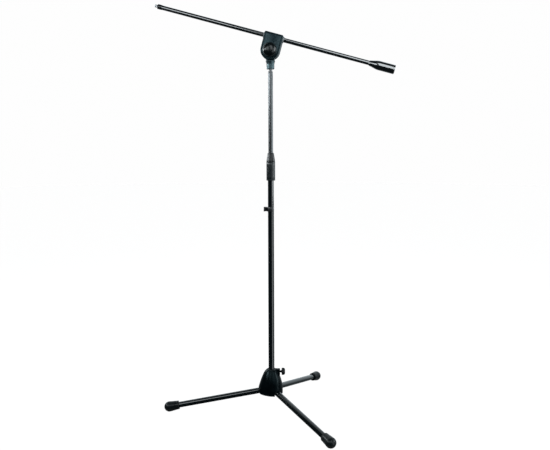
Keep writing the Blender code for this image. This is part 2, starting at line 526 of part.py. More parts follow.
m = material("counterweight_steel", (0.30, 0.30, 0.31), 0.5, 1.0)
ob = lathe("counterweight_core", [(BOOM_RAD + GAP, WEIGHT_TAPER - 0.006), (0.0110, WEIGHT_TAPER - 0.006), (0.0127, WEIGHT_TAPER + 0.002), (0.0127, WEIGHT_RIGHT - 0.0165),
                                  (BOOM_RAD + GAP, WEIGHT_RIGHT - 0.0165)], BP, UB, m, 24, closed=True)
pivot(rounded(ob), BP)
m = material("counterweight_sleeve_gloss", PLASTIC, 0.14, 0.0)
wl, wt, wr = WEIGHT_LEFT, WEIGHT_TAPER, WEIGHT_RIGHT
ob = lathe("counterweight_sleeve", [(BOOM_RAD + GAP, wl), (WEIGHT_NOSE - 0.0003, wl), (WEIGHT_NOSE, wl + 0.0004), (0.0097, wl + 0.0075), (0.0117, wl + 0.0160), (0.0136, wl + 0.0235),
                                    (WEIGHT_RAD, wt), (WEIGHT_RAD, wr - 0.0014), (WEIGHT_RAD - 0.0012, wr), (0.0098, wr), (0.0098, wr - 0.0158), (0.0130, wr - 0.0158),
                                    (0.0130, wt + 0.0018), (0.0113, wt - 0.0063), (BOOM_RAD + GAP, wt - 0.0063)], BP, UB, m, 32, closed=True)
pivot(rounded(ob), BP)
m = material("end_plug_plastic", PLASTIC, 0.35, 0.0)
ob = lathe("boom_end_plug", [(0, BOOM_RIGHT - 0.014), (BOOM_IN - GAP, BOOM_RIGHT - 0.014), (BOOM_IN - GAP, BOOM_RIGHT + GAP), (0.0095, BOOM_RIGHT + GAP), (0.0095, wr - 0.0008),
                             (0.0088, wr - 0.0001), (0, wr - 0.0001)], BP, UB, m, 24)
pivot(rounded(ob), BP)

lo = [min((o.matrix_basis @ v.co)[i] for o in bpy.data.objects for v in o.data.vertices) for i in range(3)]
hi = [max((o.matrix_basis @ v.co)[i] for o in bpy.data.objects for v in o.data.vertices) for i in range(3)]
print("BOX", [round(v, 5) for v in lo], [round(v, 5) for v in hi], "CENTRE", [round((a + b) / 2, 5) for a, b in zip(lo, hi)],
      "NODES", len(bpy.data.objects), "TRIS", sum(len(p.vertices) - 2 for o in bpy.data.objects for p in o.data.polygons))
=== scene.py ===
"""Looks of the boom microphone stand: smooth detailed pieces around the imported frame, materials, light and camera."""
import json
import math
import bpy
import bmesh
from mathutils import Matrix, Vector, noise


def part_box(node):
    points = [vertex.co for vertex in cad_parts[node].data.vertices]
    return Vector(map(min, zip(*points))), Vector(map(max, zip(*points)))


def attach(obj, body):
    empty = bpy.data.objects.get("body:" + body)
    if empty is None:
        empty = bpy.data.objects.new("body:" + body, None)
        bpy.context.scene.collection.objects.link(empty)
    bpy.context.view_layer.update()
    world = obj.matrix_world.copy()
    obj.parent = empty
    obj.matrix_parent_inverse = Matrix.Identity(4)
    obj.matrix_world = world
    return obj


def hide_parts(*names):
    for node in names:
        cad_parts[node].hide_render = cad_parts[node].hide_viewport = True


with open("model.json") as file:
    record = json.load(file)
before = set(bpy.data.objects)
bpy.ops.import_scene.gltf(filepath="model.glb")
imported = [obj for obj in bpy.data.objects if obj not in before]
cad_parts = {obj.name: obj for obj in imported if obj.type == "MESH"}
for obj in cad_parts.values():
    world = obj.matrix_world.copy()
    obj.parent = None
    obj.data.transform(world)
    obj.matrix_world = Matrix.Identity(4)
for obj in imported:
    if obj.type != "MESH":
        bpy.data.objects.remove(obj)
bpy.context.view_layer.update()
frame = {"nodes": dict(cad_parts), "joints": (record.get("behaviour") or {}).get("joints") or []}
NODES = frame["nodes"]

# ------------------------------------------------------------------ places, read from the frame
GAP = 0.0003
lo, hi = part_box("upper_rod")
AX, AY = (lo.x + hi.x) / 2, (lo.y + hi.y) / 2
JOINT = {j["name"]: j for j in frame["joints"]}
PIV = Vector(JOINT["boom_tilt"]["pos_m"])
UB = Vector(JOINT["boom_slide"]["axis"]).normalized()
VB = Vector((-UB.z, 0, UB.x))
BP = Vector(JOINT["boom_roll"]["pos_m"])
BOOM_OFFSET = (BP - PIV).length
FR = Vector((0, -1, 0))
Z = Vector((0, 0, 1))
LEG_AZ = (185.4, 65.4, -54.6)
LUG_AZ = 5.4
SLOPE = math.radians(10.1)
PIN_R = 0.026
PIN_Z = JOINT["leg_fold_1"]["pos_m"][2]
LEG_LEN = (0.3490 - PIN_R) / math.cos(SLOPE)


def at(x, y, z):
    return Vector((AX + x, AY + y, z))


def radial(az, r, z):
    a = math.radians(az)
    return at(r * math.cos(a), r * math.sin(a), z)


def direction(az):
    a = math.radians(az)
    return Vector((math.cos(a), math.sin(a), 0))


def leg_frame(az):
    """Leg shapes are written with the hinge pin along Y at the origin."""
    e, s, p = direction(az), direction(az + 90), radial(az, PIN_R, PIN_Z)
    return Matrix(((e.x, s.x, 0, p.x), (e.y, s.y, 0, p.y), (0, 0, 1, p.z), (0, 0, 0, 1)))


# ------------------------------------------------------------------ mesh helpers
def axes_of(axis):
    k = Vector(axis).normalized()
    ref = Vector((0, 0, 1)) if abs(k.z) < 0.9 else Vector((1, 0, 0))
    i = (ref - k * ref.dot(k)).normalized()
    return i, k.cross(i), k


def fillet(points, closed):
    """(r, h) points, or (r, h, radius) for a corner that is rounded."""
    out = []
    n = len(points)
    for t, p in enumerate(points):
        rad = p[2] if len(p) > 2 else 0.0
        if rad <= 0 or (not closed and t in (0, n - 1)):
            out.append((p[0], p[1]))
            continue
        a, b = points[t - 1], points[(t + 1) % n]
        c = Vector((p[0], p[1]))
        u, v = Vector((a[0], a[1])) - c, Vector((b[0], b[1])) - c
        lu, lv = u.length, v.length
        u.normalize()
        v.normalize()
        ang = math.acos(max(-1, min(1, u.dot(v))))
        if ang > math.pi - 0.03:
            out.append((p[0], p[1]))
            continue
        d = min(rad / math.tan(ang / 2), lu * 0.48, lv * 0.48)
        r = d * math.tan(ang / 2)
        centre = c + (u + v).normalized() * (r / math.sin(ang / 2))
        s, e = c + u * d - centre, c + v * d - centre
        turn = s.angle_signed(e)
        steps = max(2, int(abs(turn) / math.radians(18)) + 1)
        for q in range(steps + 1):
            w = s.copy()
            w.rotate(Matrix.Rotation(-turn * q / steps, 2))
            out.append((max(0.0, centre.x + w.x), centre.y + w.y))
    return out


def new_object(name, bm, angle=32):
    bmesh.ops.recalc_face_normals(bm, faces=bm.faces)
    me = bpy.data.meshes.new(name)
    bm.to_mesh(me)
    bm.free()
    ob = bpy.data.objects.new(name, me)
    bpy.context.scene.collection.objects.link(ob)
    smooth(ob, angle)
    return ob


def smooth(ob, angle=32):
    for p in ob.data.polygons:
        p.use_smooth = True
    ob.data.set_sharp_from_angle(angle=math.radians(angle))
    return ob


def lathe(name, profile, base, axis, segs=72, closed=False, shape=None, angle=32):
    """Turned piece. shape(angle, r, h) may give back another radius, for flutes and threads."""
    i, j, k = axes_of(axis)
    pts = fillet(profile, closed)
    bm = bmesh.new()
    rings = []
    for r, h in pts:
        if r < 1e-6:
            rings.append([bm.verts.new(Vector(base) + k * h)])
            continue
        ring = []
        for t in range(segs):
            a = 2 * math.pi * t / segs
            q = shape(a, r, h) if shape else r
            ring.append(bm.verts.new(Vector(base) + k * h + (i * math.cos(a) + j * math.sin(a)) * q))
        rings.append(ring)
    pairs = list(zip(rings, rings[1:])) + ([(rings[-1], rings[0])] if closed else [])
    for p, q in pairs:
        if len(p) == 1 and len(q) == 1:
            continue
        for t in range(segs):
            n = (t + 1) % segs
            if len(p) == 1:
                bm.faces.new((p[0], q[t], q[n]))
            elif len(q) == 1:
                bm.faces.new((p[t], q[0], p[n]))
            else:
                bm.faces.new((p[t], q[t], q[n], p[n]))
    return new_object(name, bm, angle)


def prism(name, outline, base, i, j, k, h0, h1, angle=32):
    base, i, j, k = Vector(base), Vector(i), Vector(j), Vector(k)
    bm = bmesh.new()
    a = [bm.verts.new(base + i * x + j * y + k * h0) for x, y in outline]
    b = [bm.verts.new(base + i * x + j * y + k * h1) for x, y in outline]
    n = len(outline)
    for t in range(n):
        bm.faces.new((a[t], a[(t + 1) % n], b[(t + 1) % n], b[t]))
    bm.faces.new(a[::-1])
    bm.faces.new(b)
    return new_object(name, bm, angle)


def loft(name, loops, angle=32):
    """Loops of equal length joined in turn, both ends filled."""
    bm = bmesh.new()
    vs = [[bm.verts.new(p) for p in loop] for loop in loops]
    n = len(vs[0])
    for p, q in zip(vs, vs[1:]):
        for t in range(n):
            bm.faces.new((p[t], p[(t + 1) % n], q[(t + 1) % n], q[t]))
    bm.faces.new(vs[0][::-1])
    bm.faces.new(vs[-1])
    return new_object(name, bm, angle)


def apply_modifiers(ob):
    dg = bpy.context.evaluated_depsgraph_get()
    dg.update()
    me = bpy.data.meshes.new_from_object(ob.evaluated_get(dg))
    old = ob.data
    ob.modifiers.clear()
    ob.data = me
    bpy.data.meshes.remove(old)
    return ob


def combine(ob, tool, op='DIFFERENCE'):
    """Booleans are worked in millimetres, where the solver's tolerances suit parts of this size."""
    for o in (ob, tool):
        o.data.transform(Matrix.Scale(1000, 4))
    m = ob.modifiers.new("b", 'BOOLEAN')
    m.operation = op
    m.solver = 'EXACT'
    m.object = tool
    apply_modifiers(ob)
    ob.data.transform(Matrix.Scale(0.001, 4))
    bpy.data.objects.remove(tool, do_unlink=True)
    return ob


def soften(ob, width, segments=3, angle=35):
    m = ob.modifiers.new("edge", 'BEVEL')
    m.width = width
    m.segments = segments
    m.limit_method = 'ANGLE'
    m.angle_limit = math.radians(angle)
    apply_modifiers(ob)
    return smooth(ob)


def arc(cx, cy, r, a0, a1, n):
    return [(cx + r * math.cos(math.radians(a0 + (a1 - a0) * t / n)), cy + r * math.sin(math.radians(a0 + (a1 - a0) * t / n))) for t in range(n + 1)]


def drum(r, base, axis, h0, h1, segs=40):
    return lathe("tool", [(0, h0), (r, h0), (r, h1), (0, h1)], base, axis, segs)


# ------------------------------------------------------------------ materials
class Mat:
    """Small helper round a Principled material."""

    def __init__(self, name, rgb, rough, metal=0.0, **sockets):
        self.m = bpy.data.materials.new(name)
        self.m.use_nodes = True
        self.t = self.m.node_tree
        self.p = self.t.nodes["Principled BSDF"]
        self.p.inputs["Metallic"].default_value = metal
        self.p.inputs["Roughness"].default_value = rough
        self.p.inputs["Base Color"].default_value = (*rgb, 1)
        for k, v in sockets.items():
            self.p.inputs[k.replace("_", " ")].default_value = v
        self.rgb, self.rough = rgb, rough
        c = self.t.nodes.new("ShaderNodeTexCoord")
        self.co = c.outputs["Object"]
        self.height = None

    def new(self, kind, **kw):
        n = self.t.nodes.new(kind)
        for k, v in kw.items():
            setattr(n, k, v)
        return n

    def link(self, a, b):
        self.t.links.new(a, b)

    def map(self, scale, rot=(0, 0, 0)):
        n = self.new("ShaderNodeMapping")
        n.inputs["Scale"].default_value = scale
        n.inputs["Rotation"].default_value = rot
        self.link(self.co, n.inputs["Vector"])
        return n.outputs["Vector"]

    def noise(self, scale, detail=4.0, rough=0.55, vec=None, distort=0.0):
        n = self.new("ShaderNodeTexNoise")
        n.inputs["Scale"].default_value = scale
        n.inputs["Detail"].default_value = detail
        n.inputs["Roughness"].default_value = rough
        n.inputs["Distortion"].default_value = distort
        self.link(vec if vec else self.co, n.inputs["Vector"])
        return n.outputs["Fac"]

    def ramp(self, fac, stops):
        n = self.new("ShaderNodeValToRGB")
        r = n.color_ramp
        while len(r.elements) < len(stops):
            r.elements.new(0.5)
        for e, (pos, col) in zip(r.elements, stops):
            e.position = pos
            e.color = (*col, 1) if len(col) == 3 else col
        self.link(fac, n.inputs["Fac"])
        return n.outputs["Color"]

    def span(self, fac, a, b, lo=0.0, hi=1.0):
        n = self.new("ShaderNodeMapRange")
        n.inputs["From Min"].default_value = a
        n.inputs["From Max"].default_value = b
        n.inputs["To Min"].default_value = lo
        n.inputs["To Max"].default_value = hi
        self.link(fac, n.inputs["Value"])
        return n.outputs["Result"]

    def math(self, op, a, b):
        n = self.new("ShaderNodeMath", operation=op)
        for s, v in zip(n.inputs, (a, b)):
            if isinstance(v, (int, float)):
                s.default_value = v
            else:
                self.link(v, s)
        return n.outputs[0]

    def mix(self, fac, a, b):
        n = self.new("ShaderNodeMix", data_type='RGBA')
        for s, v in ((n.inputs["Factor"], fac), (n.inputs[6], a), (n.inputs[7], b)):
            if isinstance(v, (int, float)):
                s.default_value = v
            elif isinstance(v, tuple):
                s.default_value = (*v, 1)
            else:
                self.link(v, s)
        return n.outputs[2]

    def bump(self, fac, dist, strength=0.5):
        n = self.new("ShaderNodeBump")
        n.inputs["Distance"].default_value = dist
        n.inputs["Strength"].default_value = strength
        self.link(fac, n.inputs["Height"])
        if self.height:
            self.link(self.height, n.inputs["Normal"])
        self.height = n.outputs["Normal"]
        self.link(self.height, self.p.inputs["Normal"])

    def colour(self, c):
        self.link(c, self.p.inputs["Base Color"])

    def roughness(self, r):
        self.link(r, self.p.inputs["Roughness"])

    def worn_edge(self, size):
        """1 on outward edges, 0 on flats."""
        n = self.new("ShaderNodeNewGeometry")
        return self.span(n.outputs["Pointiness"], 0.505, 0.505 + size)


def gloss_paint(name, along, rgb=(0.0008, 0.0020, 0.0025), rough=0.10, lacquer=1.5):
    """Stoved black paint on drawn tube: faint orange peel, long polishing streaks, hazy handling marks."""
    m = Mat(name, rgb, rough, 0.0)
    m.p.inputs["Coat Weight"].default_value = 0.35 if lacquer < 1.6 else 1.0
    m.p.inputs["Coat Roughness"].default_value = 0.09 if lacquer < 1.6 else 0.13
    m.p.inputs["Coat IOR"].default_value = lacquer
    k = Vector(along)
    sc = tuple(60 + 640 * (1 - abs(c)) for c in k)
    streak = m.noise(1.0, 5, 0.6, m.map(sc))
    haze = m.noise(14, 4, 0.5, distort=0.3)
    dust = m.noise(420, 3, 0.5)
    m.colour(m.mix(m.span(haze, 0.35, 0.75, 0.0, 1.0), rgb, tuple(c * 1.8 + 0.0003 for c in rgb)))
    m.roughness(m.math('ADD', m.span(haze, 0.3, 0.7, rough - 0.01, rough + 0.03), m.span(streak, 0.4, 0.75, 0.0, 0.02)))
    m.bump(m.noise(520, 2, 0.5), 0.000006, 0.15)
    m.bump(dust, 0.000003, 0.12)
    return m.m


def cast_coat(name, rgb=(0.0090, 0.0112, 0.0120), rough=0.33, grain=1500, shine=0.4):
    """Powder coat on a casting: fine pebble, softer hollows, bare grey rubbed on the sharpest edges."""
    m = Mat(name, rgb, rough, 0.0)
    m.p.inputs["Specular IOR Level"].default_value = shine
    m.p.inputs["Specular Tint"].default_value = (0.62, 0.92, 1.0, 1)
    big = m.noise(38, 5, 0.6)
    fine = m.noise(grain, 3, 0.5)
    base = m.mix(m.span(big, 0.35, 0.72), rgb, tuple(c * 1.6 + 0.0003 for c in rgb))
    edge = m.math('MULTIPLY', m.worn_edge(0.05), m.span(m.noise(160, 6, 0.7), 0.42, 0.66))
    m.colour(m.mix(m.math('MULTIPLY', edge, 0.30), base, (0.10, 0.115, 0.12)))
    m.roughness(m.math('ADD', m.span(big, 0.3, 0.7, rough - 0.05, rough + 0.07), m.span(fine, 0.3, 0.7, -0.03, 0.04)))
    m.bump(fine, 0.000008, 0.12)
    m.bump(m.noise(260, 3, 0.5), 0.000008, 0.06)
    return m.m


def moulded(name, rgb=(0.0008, 0.0018, 0.0023), rough=0.13, grain=1100, strength=0.12, lacquer=0.0):
    """Injection moulded black plastic: near mirror gloss with faint flow marks and hairline rubs."""
    m = Mat(name, rgb, rough, 0.0)
    if lacquer:
        m.p.inputs["Coat Weight"].default_value = 1.0
        m.p.inputs["Coat Roughness"].default_value = rough
        m.p.inputs["Coat IOR"].default_value = lacquer
    flow = m.noise(45, 4, 0.5, distort=1.2)
    hair = m.noise(1.0, 6, 0.65, m.map((90, 1500, 900), (0.4, 0.2, 0.9)))
    m.colour(m.mix(m.span(flow, 0.3, 0.75), rgb, tuple(c * 1.5 + 0.0002 for c in rgb)))
    m.roughness(m.math('ADD', m.span(flow, 0.3, 0.7, rough - 0.02, rough + 0.05), m.span(hair, 0.52, 0.8, 0.0, 0.09)))
    m.bump(m.noise(grain, 2, 0.5), 0.00003, strength)
    return m.m


def rubber(name, rgb=(0.0012, 0.0026, 0.0032), rough=0.30, dusty=0.0, top=0.05, shine=0.32):
    """Moulded rubber with a fine matt grain, scuffed and dusty towards the floor."""
    m = Mat(name, rgb, rough, 0.0)
    m.p.inputs["Specular IOR Level"].default_value = shine
    m.p.inputs["Sheen Weight"].default_value = 0.06
    m.p.inputs["Sheen Roughness"].default_value = 0.5
    cloud = m.noise(75, 5, 0.6)
    base = m.mix(m.span(cloud, 0.35, 0.7), rgb, tuple(c * 1.7 for c in rgb))
    if dusty:
        xyz = m.new("ShaderNodeSeparateXYZ")
        m.link(m.co, xyz.inputs[0])
        low = m.span(xyz.outputs["Z"], top * 0.32, 0.0)
        base = m.mix(m.math('MULTIPLY', m.math('MULTIPLY', low, m.span(m.noise(210, 6, 0.7), 0.35, 0.7)), dusty), base, (0.13, 0.125, 0.115))
    m.colour(base)
    m.roughness(m.span(cloud, 0.3, 0.7, rough - 0.06, rough + 0.10))
    m.bump(m.noise(1700, 2, 0.5), 0.00002, 0.30)
    m.bump(m.noise(300, 3, 0.5), 0.00002, 0.15)
    return m.m


def plated(name, along, rgb, rough, tint=0.85, streaks=0.10):
    """Plated metal with drawing lines along the piece and clouding in the plate."""
    m = Mat(name, rgb, rough, 1.0)
    sc = tuple(30 + 1500 * (1 - abs(c)) for c in Vector(along))
    line = m.noise(1.0, 6, 0.6, m.map(sc))
    cloud = m.noise(60, 5, 0.6)
    m.colour(m.mix(m.span(cloud, 0.3, 0.75), rgb, tuple(c * tint for c in rgb)))
    m.roughness(m.math('ADD', m.span(line, 0.35, 0.7, rough - 0.04, rough + streaks), m.span(cloud, 0.45, 0.75, 0.0, 0.05)))
    m.bump(line, 0.000004, 0.15)
    m.bump(m.noise(400, 3, 0.5), 0.00001, 0.08)
    return m.m


def pale_plastic(name, rgb, rough=0.42, pit=1300):
    m = Mat(name, rgb, rough, 0.0)
    cloud = m.noise(80, 5, 0.6)
    grime = m.noise(220, 6, 0.7)
    base = m.mix(m.span(cloud, 0.3, 0.75), rgb, tuple(c * 0.82 for c in rgb))
    m.colour(m.mix(m.span(grime, 0.58, 0.82, 0.0, 0.45), base, tuple(c * 0.45 for c in rgb)))
    m.roughness(m.span(cloud, 0.3, 0.7, rough - 0.06, rough + 0.10))
    m.bump(m.noise(pit, 3, 0.5), 0.00004, 0.3)
    return m.m


ZINC = (0.70, 0.71, 0.73)
M_HUB = cast_coat("hub_powder_coat", (0.0004, 0.0013, 0.0018), 0.26, shine=0.06)
M_YOKE = cast_coat("yoke_powder_coat", (0.0016, 0.0056, 0.0078), 0.36, 1900, 0.75)
M_HEAD = cast_coat("head_powder_coat", (0.0016, 0.0056, 0.0078), 0.22, 1900, 0.20)
M_LEG = [gloss_paint("leg_gloss_%d" % n, (math.cos(math.radians(a)), math.sin(math.radians(a)), 0)) for n, a in enumerate(LEG_AZ, 1)]
M_MAST = gloss_paint("mast_gloss", (0, 0, 1), rough=0.12)
M_BOOM = gloss_paint("boom_gloss", tuple(UB), rough=0.10, lacquer=1.9)
M_ROD = plated("rod_black_nickel", (0, 0, 1), (0.068, 0.072, 0.075), 0.25)
M_FOOT = rubber("foot_rubber", dusty=0.5, shine=0.16)
M_GRIP = rubber("grip_elastomer", (0.0012, 0.0032, 0.0042), 0.28)
M_NOSE = moulded("nose_plastic", rough=0.17)
M_NOSE.node_tree.nodes["Principled BSDF"].inputs["Specular IOR Level"].default_value = 0.22
M_KNOB = moulded("knob_plastic", rough=0.24, strength=0.04)
M_KNOB.node_tree.nodes["Principled BSDF"].inputs["Specular IOR Level"].default_value = 0.31
M_SCREW_KNOB = moulded("screw_knob_plastic", rough=0.42)
M_SCREW_KNOB.node_tree.nodes["Principled BSDF"].inputs["Specular IOR Level"].default_value = 0.22
M_CLIP = moulded("clip_plastic", (0.006, 0.007, 0.008), 0.30)
M_WEIGHT = moulded("weight_sleeve_black", rough=0.12, strength=0.05, lacquer=2.0)
M_FERRULE = moulded("ferrule_black", rough=0.22)
M_CAP = moulded("cap_black", (0.013, 0.014, 0.015), 0.34)
M_THREAD = plated("zinc_thread", tuple(UB), ZINC, 0.24)
M_ZINC = plated("zinc_plate", (0, 0, 1), ZINC, 0.30)
M_STUD = plated("stud_dull_nickel", (0, 0, 1), (0.15, 0.155, 0.16), 0.26)
M_SCREW = plated("screw_black_oxide", tuple(direction(LUG_AZ)), (0.010, 0.011, 0.012), 0.40)
M_BRASS = plated("turned_brass", (0, 0, 1), (0.56, 0.42, 0.19), 0.30)
M_IRON = plated("slug_iron", tuple(UB), (0.17, 0.165, 0.16), 0.55, 0.7)
M_NYLON = pale_plastic("natural_nylon", (0.42, 0.41, 0.38))
M_BUSH = pale_plastic("acetal_bush", (0.26, 0.28, 0.29), 0.36)
M_FIBRE = pale_plastic("friction_fibre", (0.16, 0.12, 0.085), 0.85, 600)


def place(ob, mat, body, slot, *nodes):
    ob.data.materials.clear()
    ob.data.materials.append(mat)
    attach(ob, body)
    if nodes:
        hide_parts(*nodes)
    return ob


def keep(node, mat):
    ob = NODES[node]
    if not ob.material_slots:
        ob.data.materials.append(mat)
    for s in ob.material_slots:
        s.material = mat


# ------------------------------------------------------------------ camera, light and floor
def camera():
    D, H, pan, pitch, roll, f, psi = 2.35, 0.93235, 0.00523, 0.12402, -0.00296, 714.37668, 0.08491
    R = Matrix.Rotation(psi, 3, 'Z')
    C = R @ Vector((0, -D, 0)) + Vector((AX, AY, H))
    fw = R @ Vector((math.sin(pan) * math.cos(pitch), math.cos(pan) * math.cos(pitch), -math.sin(pitch)))
    right = R @ Vector((math.cos(pan), -math.sin(pan), 0))
    up = right.cross(fw)
    r = math.cos(roll) * right + math.sin(roll) * up
    u = -math.sin(roll) * right + math.cos(roll) * up
    cam = bpy.data.cameras.new("camera")
    cam.sensor_width = 36
    cam.lens = f / 550 * 36
    cam.shift_x = 0.30 / 550
    cam.clip_end = 100
    ob = bpy.data.objects.new("camera", cam)
    bpy.context.scene.collection.objects.link(ob)
    ob.matrix_world = Matrix(((r.x, u.x, -fw.x, C.x), (r.y, u.y, -fw.y, C.y), (r.z, u.z, -fw.z, C.z), (0, 0, 0, 1)))
    bpy.context.scene.camera = ob


def softbox(name, pos, target, w, h, power, rgb=(1, 1, 1)):
    d = bpy.data.lights.new(name, 'AREA')
    d.shape = 'RECTANGLE'
    d.size, d.size_y, d.energy, d.color = w, h, power, rgb
    ob = bpy.data.objects.new(name, d)
    bpy.context.scene.collection.objects.link(ob)
    ob.location = pos
    ob.rotation_euler = (Vector(target) - Vector(pos)).to_track_quat('-Z', 'Y').to_euler()
    return ob


camera()
TINT = (0.90, 0.97, 1.0)
softbox("wall_right", (2.3, -1.3, 0.55), (0, 0, 0.55), 2.2, 2.9, 42, TINT)
softbox("strip_right", (2.5, 0.10, 1.40), (0, 0, 1.2), 0.9, 1.8, 56, TINT)
softbox("left_front", (-2.20, -1.10, 1.45), (0, 0, 1.2), 0.7, 0.5, 36, TINT)
softbox("left_back", (-2.30, 0.95, 1.34), (0, 0, 1.2), 0.7, 0.5, 24.8, TINT)
softbox("front_left", (-1.10, -2.1, 1.76), (-0.3, 0, 1.33), 1.0, 1.15, 15.1, TINT)
softbox("front_inner", (-0.45, -2.1, 1.76), (-0.2, 0, 1.33), 0.30, 1.15, 4.4, TINT)
softbox("front_right", (0.78, -2.1, 2.20), (0.2, 0, 1.25), 1.26, 2.2, 37.4, TINT)
softbox("top_left", (-1.0, 1.2, 2.5), (0.2, -0.2, 0), 2.0, 1.6, 5.4, TINT)
bpy.context.scene.view_settings.view_transform = 'Standard'
world = bpy.data.worlds.new("studio")
bpy.context.scene.world = world
world.use_nodes = True
wt = world.node_tree
bg = wt.nodes["Background"]
bg.inputs["Strength"].default_value = 1.0
where = wt.nodes.new("ShaderNodeTexCoord")
split = wt.nodes.new("ShaderNodeSeparateXYZ")
wt.links.new(where.outputs["Generated"], split.inputs[0])


def world_span(fac, a, b, lo_, hi_):
    n = wt.nodes.new("ShaderNodeMapRange")
    n.interpolation_type = 'SMOOTHSTEP'
    for k, v in (("From Min", a), ("From Max", b), ("To Min", lo_), ("To Max", hi_)):
        n.inputs[k].default_value = v
    wt.links.new(fac, n.inputs["Value"])
    return n.outputs["Result"]


# a bright sweep behind the stand, a dark room in front of it
behind = world_span(split.outputs["Y"], 0.15, 0.98, 0.0, 1.15)
low_part = world_span(split.outputs["Z"], -0.30, 0.05, 0.18, 1.0)
high_part = world_span(split.outputs["Z"], 0.65, 0.98, 1.0, 0.3)
band = wt.nodes.new("ShaderNodeMath")
band.operation = 'MULTIPLY'
wt.links.new(low_part, band.inputs[0])
wt.links.new(high_part, band.inputs[1])
above = band.outputs[0]
both = wt.nodes.new("ShaderNodeMath")
both.operation = 'MULTIPLY_ADD'
wt.links.new(behind, both.inputs[0])
wt.links.new(above, both.inputs[1])
both.inputs[2].default_value = 0.022
tone = wt.nodes.new("ShaderNodeMix")
tone.data_type = 'RGBA'
tone.inputs[6].default_value = (0, 0, 0, 1)
tone.inputs[7].default_value = (0.84, 0.95, 1.0, 1)
wt.links.new(both.outputs[0], tone.inputs["Factor"])
wt.links.new(tone.outputs[2], bg.inputs["Color"])
white = wt.nodes.new("ShaderNodeBackground")
white.inputs["Color"].default_value = (1, 1, 1, 1)
white.inputs["Strength"].default_value = 0.99
path = wt.nodes.new("ShaderNodeLightPath")
mixer = wt.nodes.new("ShaderNodeMixShader")
wt.links.new(path.outputs["Is Camera Ray"], mixer.inputs[0])
wt.links.new(bg.outputs[0], mixer.inputs[1])
wt.links.new(white.outputs[0], mixer.inputs[2])
wt.links.new(mixer.outputs[0], wt.nodes["World Output"].inputs["Surface"])

fl = lathe("floor", [(0, 0), (0.8, 0), (2.0, 0), (5.0, 0), (12.0, 0)], (0, 0, -0.0002), Z, 96)
m = Mat("pale_floor", (0.20, 0.20, 0.20), 0.9)
m.p.inputs["Specular IOR Level"].default_value = 0.0
m.colour(m.mix(m.span(m.noise(3.0, 3), 0.3, 0.7), (0.19, 0.19, 0.192), (0.21, 0.21, 0.212)))
m.p.inputs["Emission Color"].default_value = (1, 1, 1, 1)
m.p.inputs["Emission Strength"].default_value = 0.955
# the legs fold to below floor level, so the floor is a sheet that shows them through it
sheet, clear = m.new("ShaderNodeMixShader"), m.new("ShaderNodeBsdfTransparent")
sheet.inputs[0].default_value = 0.3
m.link(clear.outputs[0], sheet.inputs[1])
m.link(m.p.outputs[0], sheet.inputs[2])
m.link(sheet.outputs[0], m.t.nodes["Material Output"].inputs["Surface"])
fl.data.materials.append(m.m)
fl.visible_glossy = False
fl.visible_diffuse = False
fl.visible_shadow = False

# ------------------------------------------------------------------ base hub
O, X, Y = Vector((0, 0, 0)), Vector((1, 0, 0)), Vector((0, 1, 0))
DOWN = Vector((math.cos(SLOPE), 0, -math.sin(SLOPE)))
RINGS = ((0.1470, 0.0150, 0.0150), (0.1458, 0.0168, 0.0172), (0.1390, 0.0210, 0.0236), (0.1282, 0.0262, 0.0290),
         (0.1139, 0.0319, 0.0348), (0.0995, 0.0357, 0.0398), (0.0852, 0.0377, 0.0440), (0.0740, 0.0382, 0.0452),
         (0.0655, 0.0382, 0.0452), (0.0626, 0.0370, 0.0440))


def dense(rings, n):
    out = []
    for t in range(len(rings) - 1):
        p0, p1, p2, p3 = rings[max(0, t - 1)], rings[t], rings[t + 1], rings[min(len(rings) - 1, t + 2)]
        steps = n if 1 <= t <= len(rings) - 3 else 1
        for q in range(steps):
            w = q / steps
            out.append(tuple(0.5 * (2 * p1[c] + (p2[c] - p0[c]) * w + (2 * p0[c] - 5 * p1[c] + 4 * p2[c] - p3[c]) * w * w
                                    + (3 * p1[c] - p0[c] - 3 * p2[c] + p3[c]) * w ** 3) if steps > 1 else p1[c] for c in range(3)))
    out.append(rings[-1])
    return out


